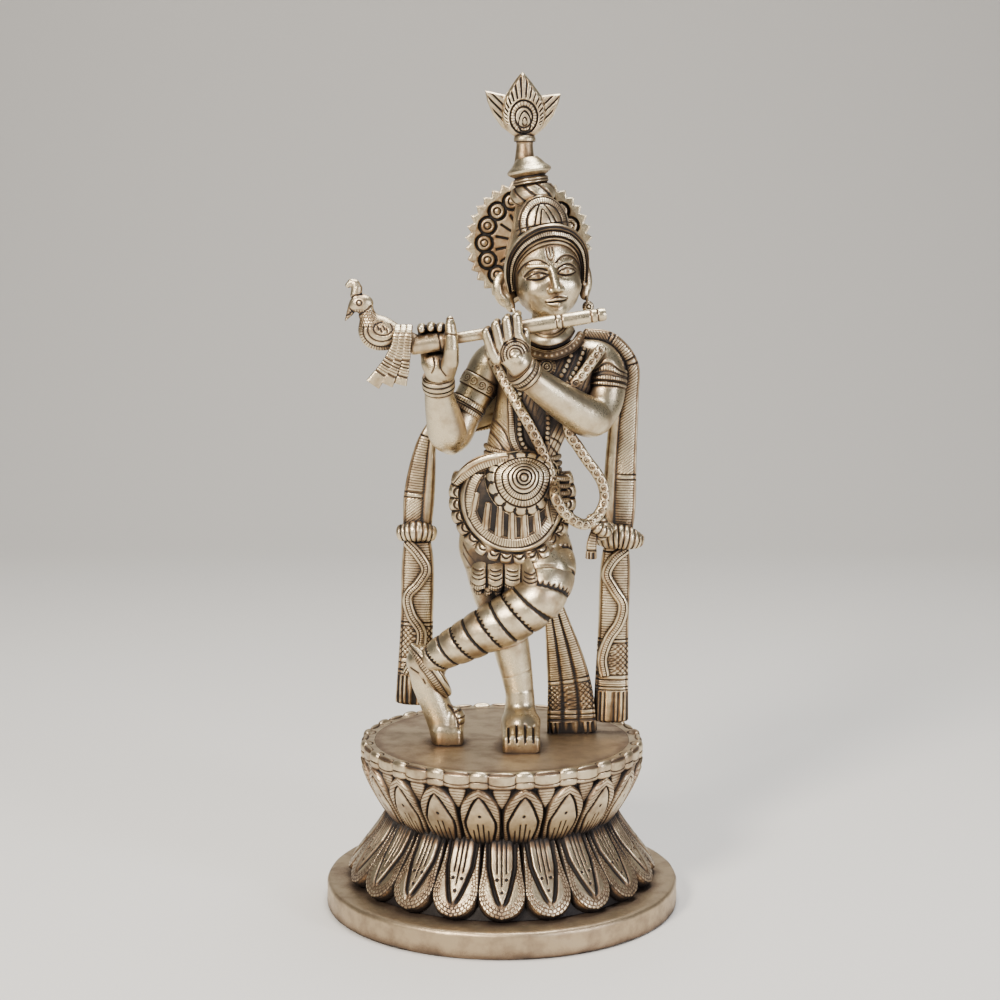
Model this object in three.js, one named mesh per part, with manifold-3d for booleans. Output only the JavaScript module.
// A cast brass flute player standing cross-legged on a double lotus base.
// Millimetres, +Z up, front towards -Y, origin at the centre of the base's underside.
// "left" and "right" are the figure's own sides, so its left is towards +X.
// Castings are modelled as separate solids that meet with a brazing gap, and the feet are bolted down.
import * as THREE from "three";
import { mergeVertices } from "three/addons/utils/BufferGeometryUtils.js";
import Module from "manifold-3d";

const wasm = await Module();
wasm.setup();

// Driving dimensions
const GAP = 0.4; // brazing gap left between neighbouring castings
const DETAIL = 0.1; // facets flatter than this are merged
const PLINTH_RADIUS = 71;
const PLINTH_HEIGHT = 10.5;
const WAIST_RADIUS = 44; // where the two lotus castings meet
const WAIST_HEIGHT = 36;
const SEAT_RADIUS = 57; // upper lotus at its rim
const SEAT_HEIGHT = 66.5; // top of the seat plate, where the feet stand
const WALL = 3.5; // base castings
const PETALS = 20;
const HEAD_CENTRE = [17, -2, 252];
const HEAD_ROLL = THREE.MathUtils.degToRad(-9); // the crown leans towards the figure's right
const HEAD_YAW = THREE.MathUtils.degToRad(12); // the face turns towards the figure's left
const HALO_RADIUS = 25.3;
const HALO_TEETH = 36;
const FLUTE_START = [-31, -29, 226.5];
const FLUTE_END = [39.5, -25, 237.8];
const STUD_RADIUS = 2.5;
const FOOT_STUDS = { right: [7.6, -6], left: [-21, -5.5] };

const FRONT = new THREE.Vector3(0, -1, 0);
const UP = new THREE.Vector3(0, 0, 1);

// Materials
const brass = (colour, roughness) =>
  new THREE.MeshStandardMaterial({ color: colour, roughness, metalness: 1 });
const antiqueBrass = brass(0xb99a62, 0.42);
const brushedBrass = brass(0xb0936a, 0.5);
const steel = brass(0x9a9a98, 0.4);

// A three.js geometry as a solid.
function solid(geometry) {
  const bare = geometry.clone();
  for (const name of Object.keys(bare.attributes)) if (name !== "position") bare.deleteAttribute(name);
  const merged = mergeVertices(bare, 1e-4);
  return new wasm.Manifold(
    new wasm.Mesh({
      numProp: 3,
      vertProperties: new Float32Array(merged.attributes.position.array),
      triVerts: new Uint32Array(merged.index.array),
    }),
  );
}

// A solid as a three.js geometry.
function geometryOf(body) {
  const mesh = body.getMesh();
  return new THREE.BufferGeometry()
    .setAttribute("position", new THREE.BufferAttribute(new Float32Array(mesh.vertProperties), 3))
    .setIndex(new THREE.BufferAttribute(new Uint32Array(mesh.triVerts), 1));
}

// The same solid with every facet moved outwards by at least this much, for cutting clearance.
function swollen(body, by) {
  const geometry = geometryOf(body);
  geometry.computeVertexNormals();
  const { position, normal } = geometry.attributes;
  const index = geometry.index.array;
  const slant = new Float32Array(position.count).fill(1);
  const facet = new THREE.Triangle();
  const facing = new THREE.Vector3();
  const outward = new THREE.Vector3();
  for (let i = 0; i < index.length; i += 3) {
    facet.setFromAttributeAndIndices(position, ...index.slice(i, i + 3)).getNormal(facing);
    for (const corner of index.slice(i, i + 3)) {
      outward.fromBufferAttribute(normal, corner);
      slant[corner] = Math.min(slant[corner], Math.max(0.35, facing.dot(outward)));
    }
  }
  const skin = new THREE.Vector3();
  for (let i = 0; i < position.count; i++) {
    outward.fromBufferAttribute(normal, i);
    skin.fromBufferAttribute(position, i).addScaledVector(outward, by / slant[i]);
    position.setXYZ(i, skin.x, skin.y, skin.z);
  }
  return solid(geometry);
}

const union = (bodies) => bodies.reduce((all, body) => all.add(body));
const biggest = (body) => body.decompose().sort((a, b) => b.volume() - a.volume())[0];

// A closed form swept through stations [x, y, z, half width, half depth]: the width lies across
// both the path and facing, and boxy below 1 squares the section.
function limb(stations, { sides = 10, steps = 7, facing = FRONT, boxy = 1 } = {}) {
  const spine = new THREE.CatmullRomCurve3(
    stations.map((s) => new THREE.Vector3(s[0], s[1], s[2])),
    false,
    "centripetal",
  );
  const halves = new THREE.CatmullRomCurve3(
    stations.map((s) => new THREE.Vector3(s[3], s[4] ?? s[3], 0)),
    false,
    "centripetal",
  );
  const geometry = new THREE.CylinderGeometry(1, 1, 2, sides, steps);
  const position = geometry.attributes.position;
  const across = new THREE.Vector3();
  const outward = new THREE.Vector3();
  const squared = (x) => Math.sign(x) * Math.abs(x) ** boxy;
  for (let i = 0; i < position.count; i++) {
    const t = (1 + position.getY(i)) / 2;
    const tangent = spine.getTangent(t);
    across.crossVectors(tangent, facing).normalize();
    outward.crossVectors(across, tangent).normalize();
    const half = halves.getPoint(t);
    const at = spine
      .getPoint(t)
      .addScaledVector(across, squared(position.getX(i)) * half.x)
      .addScaledVector(outward, -squared(position.getZ(i)) * half.y);
    position.setXYZ(i, at.x, at.y, at.z);
  }
  const made = solid(geometry);
  return made.volume() > 0 ? made : solid(flipped(geometry));
}

// A geometry with its faces turned round.
function flipped(geometry) {
  const index = geometry.index.array;
  for (let i = 0; i < index.length; i += 3) [index[i + 1], index[i + 2]] = [index[i + 2], index[i + 1]];
  return geometry;
}

// An ellipsoid with half sizes [x, y, z].
const ball = (centre, half, around = 10, down = 7) =>
  solid(
    new THREE.SphereGeometry(1, around, down)
      .scale(...half)
      .translate(...centre),
  );

// A profile of [radius, height] turned about +Z.
function turned(profile, segments = 32) {
  const geometry = new THREE.LatheGeometry(
    profile.map(([r, z]) => new THREE.Vector2(r, z)),
    segments,
  ).rotateX(Math.PI / 2);
  const made = solid(geometry);
  return made.volume() > 0 ? made : solid(flipped(geometry));
}

// A flat outline of [x, z] points, as thick as given, standing in the XZ plane with its front at y.
function plate(points, y, thickness) {
  const shape = new THREE.Shape(points.map(([x, z]) => new THREE.Vector2(x, z)));
  const geometry = new THREE.ExtrudeGeometry(shape, { depth: thickness, bevelEnabled: false, steps: 1 });
  return solid(geometry.rotateX(Math.PI / 2).translate(0, y + thickness, 0));
}

// A round bar from one point to another.
function bar(from, to, radius, sides = 12) {
  const a = new THREE.Vector3(...from);
  const b = new THREE.Vector3(...to);
  const turn = new THREE.Quaternion().setFromUnitVectors(
    new THREE.Vector3(0, 1, 0),
    b.clone().sub(a).normalize(),
  );
  return solid(
    new THREE.CylinderGeometry(radius, radius, a.distanceTo(b), sides)
      .applyQuaternion(turn)
      .translate(...a.clone().add(b).multiplyScalar(0.5).toArray()),
  );
}

// Moves a solid built in the head's own frame to where the head is.
const headMatrix = new THREE.Matrix4()
  .makeTranslation(...HEAD_CENTRE)
  .multiply(new THREE.Matrix4().makeRotationY(HEAD_ROLL))
  .multiply(new THREE.Matrix4().makeRotationZ(HEAD_YAW));
const onHead = (body) => solid(geometryOf(body).applyMatrix4(headMatrix));

// Pieces are fitted in the order they are listed: each one is cut clear of those before it.
const figure = new THREE.Group();
const fitted = [];

function boxesMeet(a, b) {
  const p = a.boundingBox();
  const q = b.boundingBox();
  return [0, 1, 2].every((k) => p.min[k] <= q.max[k] && q.min[k] <= p.max[k]);
}

function place(name, material, body, { group = figure, clear = GAP } = {}) {
  let made = body;
  for (const other of fitted) if (boxesMeet(made, other.fat)) made = made.subtract(other.fat);
  made = biggest(solid(geometryOf(biggest(made).simplify(DETAIL))));
  fitted.push({ name, fat: swollen(made, clear).add(made) });
  const mesh = new THREE.Mesh(geometryOf(made), material);
  mesh.name = name;
  group.add(mesh);
}

// Base: a turned plinth ring, two petalled lotus shells and the plate that the feet stand on.
// The petals are the shells' own scallops: the outline swells between the dark gaps.
function lotusShell(outer, inner, swell, phase) {
  const segments = PETALS * 3;
  const section = [...outer, ...inner, outer[0]];
  const lathe = new THREE.LatheGeometry(
    section.map(([r, z]) => new THREE.Vector2(r, z)),
    segments,
  ).rotateX(Math.PI / 2);
  const position = lathe.attributes.position;
  for (let i = 0; i < position.count; i++) {
    const row = i % section.length;
    const bulge = row === section.length - 1 ? swell[0] : (swell[row] ?? 0);
    const angle = Math.atan2(position.getY(i), position.getX(i));
    const hump = Math.abs(Math.cos((angle * PETALS) / 2 + phase));
    const scale = 1 + (bulge * hump) / section[row][0];
    position.setXYZ(i, position.getX(i) * scale, position.getY(i) * scale, position.getZ(i));
  }
  const made = solid(lathe);
  return made.volume() > 0 ? made : solid(flipped(lathe));
}

function plinth() {
  return turned(
    [
      [50, 0],
      [PLINTH_RADIUS - 0.6, 0],
      [PLINTH_RADIUS, 0.6],
      [PLINTH_RADIUS, PLINTH_HEIGHT - 0.8],
      [PLINTH_RADIUS - 0.8, PLINTH_HEIGHT],
      [50, PLINTH_HEIGHT],
      [50, 0],
    ],
    48,
  );
}

function lowerLotus() {
  const foot = PLINTH_HEIGHT + GAP;
  const outer = [
    [58.8, foot],
    [58.8, foot + 3.2],
    [54, foot + 12],
    [WAIST_RADIUS - 0.5, WAIST_HEIGHT],
  ];
  const inner = [
    [WAIST_RADIUS - WALL - 0.5, WAIST_HEIGHT],
    [52, foot + 4],
    [54, foot],
  ];
  return lotusShell(outer, inner, [2.8, 2.8, 2, 0.5], 0);
}

function upperLotus() {
  const foot = WAIST_HEIGHT + GAP;
  const outer = [
    [WAIST_RADIUS - 0.5, foot],
    [50.5, foot + 11],
    [55, foot + 22],
    [54.4, SEAT_HEIGHT],
  ];
  const inner = [
    [SEAT_RADIUS - 5, SEAT_HEIGHT],
    [SEAT_RADIUS - 5.3, SEAT_HEIGHT - 3.7],
    [SEAT_RADIUS - 7.5, SEAT_HEIGHT - 4.1],
    [WAIST_RADIUS - WALL - 0.5, foot],
  ];
  return lotusShell(outer, inner, [0.6, 1.8, 2.6, 2.4], Math.PI / 2);
}

function seatPlate() {
  const disc = turned(
    [
      [0, SEAT_HEIGHT - 3.2],
      [SEAT_RADIUS - 5.9, SEAT_HEIGHT - 3.2],
      [SEAT_RADIUS - 5.6, SEAT_HEIGHT],
      [0, SEAT_HEIGHT],
    ],
    48,
  );
  return Object.values(FOOT_STUDS).reduce(
    (made, [x, y]) => made.subtract(bar([x, y, SEAT_HEIGHT - 5], [x, y, SEAT_HEIGHT + 2], STUD_RADIUS + 0.4)),
    disc,
  );
}

// A stud under each foot, with its washer and nut against the underside of the plate.
function footFixing(side) {
  const [x, y] = FOOT_STUDS[side];
  const underside = SEAT_HEIGHT - 3.2 - GAP;
  const hole = bar([x, y, underside - 20], [x, y, underside + 5], STUD_RADIUS + 0.3);
  const stud = bar([x, y, underside - 9], [x, y, SEAT_HEIGHT + 5], STUD_RADIUS);
  const washer = bar([x, y, underside - 1.2], [x, y, underside], 6, 20).subtract(hole);
  const nut = bar([x, y, underside - 6], [x, y, underside - 1.6], 4.6, 6).subtract(hole);
  place(`${side}_foot_stud`, steel, stud, { clear: 0.3 });
  place(`${side}_foot_washer`, steel, washer, { clear: 0.2 });
  place(`${side}_foot_nut`, steel, nut, { clear: 0.2 });
}

// Feet and legs. The right leg stands, and the left one crosses in front of it on its toes.
const FOOT_FLOOR = SEAT_HEIGHT + 0.3;
const floorCut = new THREE.BoxGeometry(300, 300, 40).translate(0, 0, FOOT_FLOOR - 20);

function rightFoot() {
  const sole = limb(
    [
      [7.6, 5.2, 70, 3.6, 3.6],
      [7.5, 2.5, 71.5, 5.6, 5.5],
      [7.5, -6, 73, 6.2, 7],
      [7.8, -14, 71, 7.4, 5.4],
      [7.8, -20.6, 69.6, 7.7, 3.6],
    ],
    { facing: UP, boxy: 0.7, steps: 6 },
  );
  const ankle = limb(
    [
      [7.5, -4.5, 70, 6.4],
      [7.3, -4, 78, 6.6],
      [7.2, -3.6, 84.5, 5.6],
    ],
    { steps: 5 },
  );
  return union([sole, ankle]).subtract(solid(floorCut));
}

function rightLeg() {
  return limb([
    [7.2, -3.6, 85, 5.6],
    [6.3, -3.4, 92, 6.1],
    [4.2, -3.4, 103, 7.1],
    [1.6, -4, 115, 8],
    [-1.6, -2, 127, 10.4],
    [-3, -1, 138, 12],
  ]);
}

function leftFoot() {
  const sole = limb(
    [
      [-34, -7, 103.5, 3, 3.6],
      [-33.5, -7.2, 98, 5.2, 5.2],
      [-30.5, -7, 90, 6.2, 5.6],
      [-26, -6.4, 80, 6, 6.2],
      [-22.4, -6, 72, 5.8, 6.8],
      [-21, -5.8, 64, 5.4, 6.6],
    ],
    { boxy: 0.75, steps: 7 },
  );
  const toes = ball([-17.5, -8, 76.5], [3.6, 5, 5.4], 10, 6);
  return union([sole, toes]).subtract(solid(floorCut));
}

function leftLeg() {
  return limb(
    [
      [15, -4, 146, 13.5, 11],
      [17.2, -11, 136, 11.5, 11],
      [14.5, -16.5, 127.5, 9.4, 10.6],
      [5.5, -17.5, 120.5, 9.4],
      [-5.5, -16.6, 114.6, 8.6],
      [-16, -14.4, 108.6, 7.4],
      [-23, -12, 104.6, 6.2],
      [-28.5, -9.5, 99.5, 5.2],
    ],
    { steps: 10 },
  );
}

function leftAnklet() {
  return limb(
    [
      [-31.5, -9, 106.5, 3.1, 5.6],
      [-28, -10.8, 101.5, 3.1, 6.6],
      [-23.5, -10.8, 93, 3, 6.6],
      [-18.5, -9.4, 87.5, 2.6, 5.2],
    ],
    { boxy: 0.8, steps: 6, sides: 8 },
  );
}

// Body
function hips() {
  return limb(
    [
      [6.4, -2, 180, 14, 9.6],
      [5.4, -2, 172, 20.5, 13],
      [4, -2, 163, 23.4, 14.8],
      [3.8, -2, 152, 23, 15],
      [4.6, -1.6, 142, 20.4, 13.4],
      [5, -1, 134.5, 17, 11.6],
    ],
    { sides: 16, steps: 7 },
  );
}

function torso() {
  return limb(
    [
      [7, -2, 177, 14.6, 10],
      [9, -2, 186, 13.6, 9.2],
      [13, -2, 197, 15.6, 10.4],
      [17, -1.6, 208, 18.4, 12],
      [18, -0.4, 217.5, 19.4, 11],
      [18, 0.6, 223.5, 14.5, 8.6],
      [18, 0.6, 227.5, 7.8, 7.2],
      [18, 0, 236, 6.4, 6.4],
    ],
    { sides: 16, steps: 10 },
  );
}

// The head from chin to crown, in its own frame.
function head() {
  return onHead(
    limb(
      [
        [0, -8.2, -16.6, 3.6, 3],
        [0, -6.6, -14.6, 7, 6.4],
        [0, -3.2, -9.5, 11, 11],
        [0, -0.6, -2, 13.8, 13.8],
        [0, 0.4, 7, 14.4, 14.4],
        [0, 1, 15, 13.4, 13.4],
        [0, 1.6, 22, 10.6, 10.6],
        [0, 2, 27, 6.6, 6.6],
      ],
      { sides: 16, steps: 10 },
    ),
  );
}

function ear(side) {
  return onHead(
    limb(
      [
        [side * 14.2, 0.5, 5.4, 1.2, 1.6],
        [side * 15.6, 1.2, 1.5, 1.5, 3.4],
        [side * 15.4, 0.6, -5, 1.5, 3],
        [side * 14.4, -0.4, -11.5, 1.3, 2],
      ],
      { sides: 10, steps: 6 },
    ),
  );
}

function earring(side) {
  return onHead(ball([side * 13.6, -1.4, -15.4], [2.5, 2.5, 3], 10, 6));
}

// Crown: a ribbed band with its crest, then the turned knot, cap and feather finial above it.
function crownBand() {
  const ring = turned(
    [
      [11, 6.2],
      [15.8, 6.6],
      [16.6, 9.4],
      [15.8, 12.4],
      [11, 13],
      [11, 6.2],
    ],
    20,
  );
  const tilt = new THREE.Matrix4()
    .makeTranslation(0, -1.6, 1.2)
    .multiply(new THREE.Matrix4().makeRotationX(THREE.MathUtils.degToRad(-17)));
  return onHead(solid(geometryOf(ring).applyMatrix4(tilt)));
}

function crownCrest() {
  return onHead(
    limb(
      [
        [0, -13.4, 14.4, 7.6, 1.8],
        [0, -12.6, 18.4, 7, 2.2],
        [0, -10.6, 22.4, 5, 2.4],
        [0, -8, 26, 1.6, 1.6],
      ],
      { steps: 7, sides: 12 },
    ),
  );
}

function crownKnot() {
  return onHead(
    turned(
      [
        [0, 27.2],
        [6.6, 27.4],
        [8.4, 29.4],
        [8.6, 32],
        [7.4, 34.2],
        [0, 34.2],
      ],
      16,
    ),
  );
}

function crownCap() {
  return onHead(
    turned(
      [
        [0, 34.6],
        [6.6, 34.7],
        [7, 36],
        [6.3, 37],
        [8.6, 39.6],
        [8, 41.4],
        [5.4, 43.6],
        [3.6, 45.6],
        [0, 45.8],
      ],
      16,
    ),
  );
}

// Three feather lobes on a short stem, flat to the front.
function featherFinial() {
  const foot = [9.2, 2.2, 297.6];
  const stem = bar(foot, [8.4, 2, 307.5], 3.1);
  const collar = bar([8.55, 2, 304.4], [8.4, 2, 307], 4.1);
  const lobes = plate(
    [
      [4.8, 306.2],
      [0.6, 309.5],
      [-3.4, 314.6],
      [-6.4, 322.8],
      [1.2, 321.2],
      [2.2, 321.8],
      [4.2, 325.6],
      [7, 330],
      [10.6, 325.8],
      [13.6, 321.6],
      [15.2, 320.9],
      [22.4, 321.6],
      [20.4, 314.2],
      [16.6, 309.8],
      [12.2, 306.2],
    ],
    0.2,
    3.4,
  );
  return union([stem, collar, lobes]);
}

// Halo: a toothed disc riveted behind the crown.
const HALO_CENTRE = [10.8, 264.7];
const HALO_FRONT = 14.6;

function halo() {
  const outline = [];
  for (let i = 0; i < HALO_TEETH * 2; i++) {
    const angle = (i * Math.PI) / HALO_TEETH;
    const radius = i % 2 ? HALO_RADIUS - 1.9 : HALO_RADIUS;
    outline.push([HALO_CENTRE[0] + radius * Math.sin(angle), HALO_CENTRE[1] + radius * Math.cos(angle)]);
  }
  const [x, z] = HALO_CENTRE;
  return plate(outline, HALO_FRONT, 2.4).subtract(
    bar([x, HALO_FRONT - 2, z], [x, HALO_FRONT + 6, z], 1.9),
  );
}

function haloScrew() {
  const [x, z] = HALO_CENTRE;
  return union([
    bar([x, HALO_FRONT - 9, z], [x, HALO_FRONT + 3, z], 1.5),
    bar([x, HALO_FRONT + 2.9, z], [x, HALO_FRONT + 4.6, z], 3.4, 20),
  ]);
}

// Arms, hands and what they wear
function rightUpperArm() {
  return limb(
    [
      [1.5, 1.4, 220.5, 6.4],
      [-3.6, 1.4, 217, 8],
      [-9, 0.6, 208.5, 7.4],
      [-14.4, -1.4, 199, 6.8],
      [-18.6, -4, 190.6, 7.2],
      [-20.2, -5, 187, 5],
    ],
    { steps: 10 },
  );
}

function rightForearm() {
  return limb(
    [
      [-19.4, -3.6, 186, 5.2],
      [-20.8, -6, 190, 7.6],
      [-22.6, -10.6, 197, 7],
      [-24, -16, 205, 5.7],
      [-24.4, -20, 211.5, 5],
    ],
    { steps: 8 },
  );
}

function rightHand() {
  const palm = limb(
    [
      [-24.4, -20.4, 212, 4.8, 4.4],
      [-24.6, -22.6, 217, 5.8, 3.8],
      [-25.2, -24.4, 222.4, 6, 3.4],
    ],
    { steps: 5, sides: 12 },
  );
  const finger = (x, lift) =>
    limb(
      [
        [x, -25, 221, 1.7],
        [x, -24.2, 226.6, 1.7],
        [x, -25.2, 231 + lift, 1.7],
        [x, -29, 232.4 + lift, 1.6],
      ],
      { steps: 4, sides: 6, facing: new THREE.Vector3(1, 0, 0) },
    );
  const thumb = limb(
    [
      [-20.4, -25.6, 216.6, 2.4],
      [-18.8, -30.4, 222, 2.2],
      [-18.6, -32.2, 228, 2],
      [-18.8, -31.4, 234, 1.2],
    ],
    { steps: 4, sides: 6, facing: new THREE.Vector3(1, 0, 0) },
  );
  return union([palm, finger(-28.6, 0.6), finger(-25.2, 0.4), finger(-21.9, 0.6), thumb]);
}

function leftUpperArm() {
  return limb(
    [
      [34, 1.4, 220.5, 6.4],
      [38.8, 1.2, 217, 8.2],
      [40.6, -0.6, 209, 7.6],
      [39.6, -4, 201.5, 7.2],
      [37, -7.4, 197.4, 6.2],
    ],
    { steps: 9 },
  );
}

function leftForearm() {
  return limb(
    [
      [38.2, -5.4, 199.4, 5.4],
      [34.6, -9.4, 197.6, 8],
      [27, -15.4, 201.4, 7.4],
      [17, -22.4, 208.6, 6.2],
      [9.4, -27.2, 214.8, 5.2],
    ],
    { steps: 8 },
  );
}

function leftHand() {
  const palm = limb(
    [
      [8.8, -27.6, 215.4, 5],
      [5.4, -30, 220.4, 5.6, 4],
      [1.6, -31.6, 226.6, 6.6, 3.4],
    ],
    { steps: 5, sides: 12 },
  );
  const finger = (x, z) =>
    limb(
      [
        [x + 1, -31.6, z - 4, 1.8],
        [x - 0.4, -33, z + 1.6, 1.8],
        [x - 0.2, -31.4, z + 5.6, 1.8],
        [x + 0.6, -27.4, z + 7, 1.6],
      ],
      { steps: 4, sides: 6, facing: new THREE.Vector3(1, 0, 0) },
    );
  return union([palm, finger(-4.6, 227), finger(-1.4, 228.4), finger(1.8, 229.2), finger(5, 229.8)]);
}

// A ring worn across a limb, as thick as it stands proud.
function worn(centre, along, halfWidth, radius, proud) {
  const axis = new THREE.Vector3(...along).normalize();
  const end = (sign) => new THREE.Vector3(...centre).addScaledVector(axis, sign * halfWidth).toArray();
  return bar(end(-1), end(1), radius + proud, 16);
}

// Flute with its peacock end and tassel
const flutePoint = (share) => FLUTE_START.map((a, k) => a + share * (FLUTE_END[k] - a));

function flute() {
  return union([bar(flutePoint(-0.02), flutePoint(1), 2.4), bar(flutePoint(-0.03), flutePoint(0.16), 3.6)]);
}

function peacock() {
  const body = limb(
    [
      [-33.6, -29.2, 226.4, 3.4],
      [-39, -29.4, 228, 5.2, 3.6],
      [-45, -29.6, 229, 6.2, 4],
      [-50.4, -29.8, 231.6, 5, 3.6],
      [-52.6, -29.8, 236.6, 3.4, 3],
      [-52, -29.8, 241.4, 3, 2.8],
    ],
    { steps: 9, sides: 10 },
  );
  const skull = ball([-52.8, -29.8, 243.4], [4.4, 3.4, 3.8], 10, 6);
  const beak = limb(
    [
      [-54.6, -29.8, 242, 2.4],
      [-57, -29.8, 238.6, 1.5],
      [-58.6, -29.8, 235.6, 0.5],
    ],
    { steps: 4, sides: 8 },
  );
  const crest = limb(
    [
      [-54, -29.8, 245, 2.2, 1.8],
      [-54.8, -29.8, 249, 1.9, 1.6],
      [-56, -29.8, 251.4, 1.5],
      [-58.2, -29.8, 250, 1.1],
    ],
    { steps: 6, sides: 8 },
  );
  return union([body, skull, beak, crest]);
}

function fluteTassel() {
  const strip = (top, foot, half) =>
    limb(
      [
        [top, -31.6, 232.5, 1.6, 1],
        [top - 0.6, -33.8, 226.5, 1.7, 1],
        [(top + foot) / 2, -33.6, 219, half * 0.8, 1],
        [foot, -33, 211.5, half, 1],
      ],
      { steps: 5, sides: 6, boxy: 0.6 },
    );
  return union([strip(-39.4, -48, 2.6), strip(-37.2, -43.2, 2.5), strip(-35, -38, 2.4)]);
}

// Ornaments
function collar() {
  return limb(
    [
      [5.4, -4, 228.4, 2.6, 2],
      [9.4, -11, 222.6, 2.8, 2],
      [18.6, -14, 219.8, 2.8, 2],
      [27.4, -11, 222.6, 2.8, 2],
      [30.8, -4, 228.4, 2.6, 2],
    ],
    { steps: 10, sides: 6 },
  );
}

const pendant = () => bar([17, -18, 216.4], [17, -12.4, 216.4], 3.6, 16);

function beadStrands() {
  return limb(
    [
      [29.6, -5, 228, 2.6, 1.6],
      [30.6, -11, 216, 2.8, 1.6],
      [25.4, -14.6, 204, 2.8, 1.6],
      [17.4, -13.8, 190, 2.8, 1.6],
      [10.6, -13.2, 181.6, 2.8, 1.6],
      [4.6, -13.2, 186.6, 2.8, 1.6],
      [4.2, -13.2, 197, 2.8, 1.6],
      [4, -12.4, 209, 2.8, 1.6],
      [7, -8.6, 220, 2.6, 1.6],
    ],
    { steps: 18, sides: 6 },
  );
}

// The long garland swings out past the left hip and back up under the arm.
function garland() {
  return limb(
    [
      [3, -6, 228, 2.4],
      [-4.4, -13, 222.6, 2.6],
      [0.6, -17.6, 210, 2.7],
      [9.4, -18, 197, 2.7],
      [17, -19.6, 183.6, 2.7],
      [22.4, -22.6, 168.6, 2.7],
      [28.4, -20.6, 159.4, 2.6],
      [35.4, -15, 156.8, 2.5],
      [40.2, -9.6, 163, 2.5],
      [40, -8.4, 174, 2.5],
      [34, -9, 184, 2.5],
      [27.4, -13, 191.4, 2.5],
    ],
    { steps: 24, sides: 6 },
  );
}

const garlandKnot = () => ball([38.4, -8.4, 154.2], [4.4, 4.4, 4], 10, 6);

function sashDisc() {
  return limb(
    [
      [6.2, -12.5, 175, 14.6, 14.6],
      [6.2, -18, 175, 14.2, 14.2],
      [6.2, -20.6, 175, 9.4, 9.4],
      [6.2, -22, 175, 2.4, 2.4],
    ],
    { steps: 4, sides: 20, facing: UP },
  );
}

function pearlGirdle() {
  return limb(
    [
      [-12.6, -12.4, 172.4, 3.2, 2],
      [-13.2, -14.4, 161, 3.2, 2],
      [-7, -17.6, 151, 3.2, 2.2],
      [5.4, -19.4, 147, 3.2, 2.2],
      [17.6, -17.6, 151, 3.2, 2.2],
      [24.6, -13, 160, 3.2, 2],
    ],
    { steps: 12, sides: 6 },
  );
}

function petalGirdle() {
  return limb(
    [
      [-17.4, -8.4, 175, 3, 2],
      [-20.2, -9, 163, 3.2, 2],
      [-15.8, -13, 149, 3.2, 2.2],
      [-5.6, -16.6, 142.4, 3.2, 2.2],
      [5.4, -17.6, 140.6, 3.2, 2.2],
      [17.4, -16, 143.6, 3.2, 2.2],
      [26.4, -10.6, 151.4, 3, 2],
    ],
    { steps: 14, sides: 6 },
  );
}

function skirtPleats() {
  return limb(
    [
      [-11.4, -11.4, 136.4, 5, 3],
      [-5, -14.6, 134.4, 6.4, 4],
      [3.4, -17, 133.6, 6.6, 5],
      [9, -18.4, 134.6, 5, 4],
    ],
    { steps: 6, sides: 8 },
  );
}

function belt() {
  const rings = turned(
    [
      [14.6, -3],
      [17, -2.6],
      [17.6, 0],
      [16.6, 2.6],
      [14.6, 3],
      [14.6, -3],
    ],
    20,
  );
  const geometry = geometryOf(rings)
    .scale(1.06, 0.76, 1)
    .rotateY(THREE.MathUtils.degToRad(8))
    .translate(7.6, -2, 181);
  return solid(geometry);
}

// Cloth cast in brass: the shawl hangs behind both arms and the side sash falls from the left hip.
function shawlBack() {
  const drape = limb(
    [
      [44.6, 9.4, 214, 9, 1.8],
      [32, 14, 212, 9.6, 1.8],
      [17, 14.6, 207, 10, 1.8],
      [1, 11.8, 201, 10, 1.8],
      [-14, 9, 196.4, 8.6, 1.8],
      [-27.6, 7.6, 190.6, 5, 1.8],
    ],
    { steps: 10, boxy: 0.7, sides: 8 },
  );
  return drape.subtract(bar([-5.6, 0, 197.6], [-5.6, 22, 197.6], 2.8));
}

function leftShawlTail() {
  return limb(
    [
      [33, 4.6, 228.4, 3.6, 2.4],
      [43.6, 6, 226.4, 3.8, 2.4],
      [51, 7, 216, 4, 2.4],
      [48.4, 7.6, 203, 6, 2.4],
      [47.6, 7.6, 180, 6.4, 2.4],
      [47, 7, 157, 6.8, 2.6],
      [46.6, 6.6, 140, 6, 3],
      [45.2, 7.6, 110, 5.8, 3],
      [44.6, 9, 88, 6.6, 2.8],
      [44.6, 10, 71.8, 7.2, 2.6],
    ],
    { steps: 14, boxy: 0.7, sides: 8 },
  );
}

function rightShawlTail() {
  return limb(
    [
      [-27, 6.4, 196, 1.4, 1.8],
      [-30.2, 6.6, 185, 4, 2.4],
      [-33, 6.6, 165, 6.2, 2.4],
      [-34, 6.2, 146, 7, 3],
      [-33.8, 6.4, 136, 6.4, 3],
      [-34.4, 7.6, 112, 6.6, 3],
      [-35.4, 8.6, 92, 7, 2.8],
      [-35.8, 9.4, 79.4, 7.6, 2.6],
    ],
    { steps: 12, boxy: 0.7, sides: 8 },
  );
}

function shawlKnot() {
  return limb(
    [
      [38.6, 3.4, 147.6, 3.6, 4],
      [47, 2.8, 148.4, 4.2, 5],
      [54.6, 4.6, 146.2, 3.8, 3.8],
    ],
    { steps: 6, sides: 12, facing: UP },
  );
}

function sideSash() {
  return limb(
    [
      [19.4, -3.4, 123, 3.6, 2.4],
      [22.6, 0.4, 112, 5.4, 2.4],
      [26, 4.4, 96, 8, 2.4],
      [28.2, 7.6, 80, 9.8, 2.2],
      [28.6, 8.4, 67.4, 10.6, 2.2],
    ],
    { steps: 8, boxy: 0.6, sides: 10 },
  );
}

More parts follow.
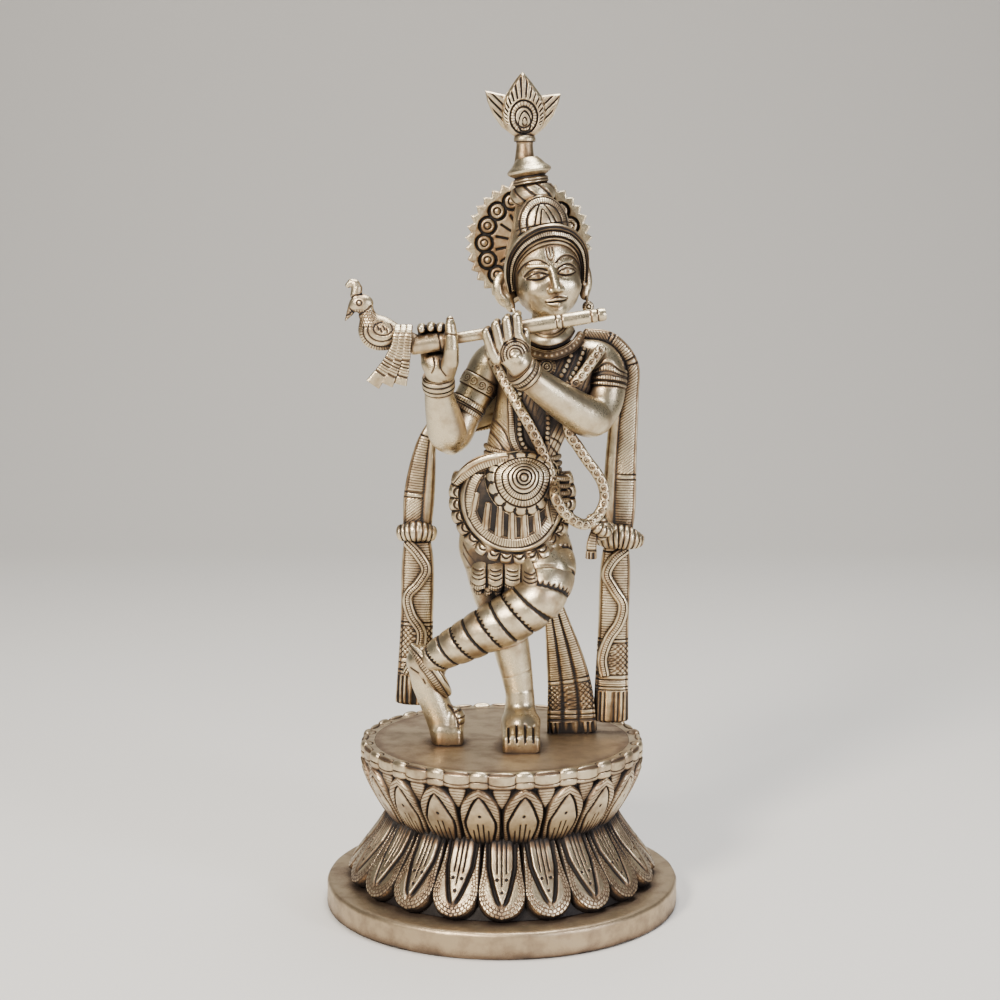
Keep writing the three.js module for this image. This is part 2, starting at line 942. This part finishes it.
// Assembly, from the core outwards
place("plinth", brushedBrass, plinth());
place("lower_lotus", antiqueBrass, lowerLotus());
place("upper_lotus", antiqueBrass, upperLotus());
place("seat_plate", brushedBrass, seatPlate());
for (const side of ["right", "left"]) footFixing(side);
place("right_foot", antiqueBrass, rightFoot());
place("left_foot", antiqueBrass, leftFoot());
place("torso", antiqueBrass, torso());
place("hips", antiqueBrass, hips());
place("right_leg", antiqueBrass, rightLeg());
place("left_leg", antiqueBrass, leftLeg());
place("head", antiqueBrass, head());
place("right_upper_arm", antiqueBrass, rightUpperArm());
place("left_upper_arm", antiqueBrass, leftUpperArm());
place("right_forearm", antiqueBrass, rightForearm());
place("left_forearm", antiqueBrass, leftForearm());
place("flute", antiqueBrass, flute());
place("right_hand", antiqueBrass, rightHand());
place("left_hand", antiqueBrass, leftHand());
place("peacock", antiqueBrass, peacock());
place("flute_tassel", antiqueBrass, fluteTassel());
place("crown_band", antiqueBrass, crownBand());
place("crown_crest", antiqueBrass, crownCrest());
place("crown_knot", antiqueBrass, crownKnot());
place("crown_cap", antiqueBrass, crownCap());
place("feather_finial", antiqueBrass, featherFinial());
place("right_ear", antiqueBrass, ear(-1));
place("left_ear", antiqueBrass, ear(1));
place("right_earring", antiqueBrass, earring(-1));
place("left_earring", antiqueBrass, earring(1));
place("halo_screw", steel, haloScrew());
place("halo", antiqueBrass, halo());
place("left_anklet", antiqueBrass, leftAnklet());
place("right_bracelet", antiqueBrass, worn([-24.2, -18.6, 209.4], [-0.4, -4, 6.5], 3, 5.4, 1.3));
place("left_bracelet", antiqueBrass, worn([11, -26, 213.2], [-7.6, -4.8, 6.2], 3, 5.8, 1.2));
place("right_armlet", antiqueBrass, worn([-11.4, -0.2, 204.6], [-5.4, -2, -9.6], 3, 7.2, 1.2));
place("left_armlet", antiqueBrass, worn([40.6, -1, 208], [0.4, -3, -8], 3, 7.8, 1.2));
place("collar", antiqueBrass, collar());
place("pendant", antiqueBrass, pendant());
place("bead_strands", antiqueBrass, beadStrands());
place("belt", antiqueBrass, belt());
place("sash_disc", antiqueBrass, sashDisc());
place("pearl_girdle", antiqueBrass, pearlGirdle());
place("petal_girdle", antiqueBrass, petalGirdle());
place("skirt_pleats", antiqueBrass, skirtPleats());
place("left_shawl_tail", antiqueBrass, leftShawlTail());
place("right_shawl_tail", antiqueBrass, rightShawlTail());
place("shawl_back", antiqueBrass, shawlBack());
place("shawl_knot", antiqueBrass, shawlKnot());
place("side_sash", antiqueBrass, sideSash());
place("garland_knot", antiqueBrass, garlandKnot());
place("garland", antiqueBrass, garland());

export default figure;
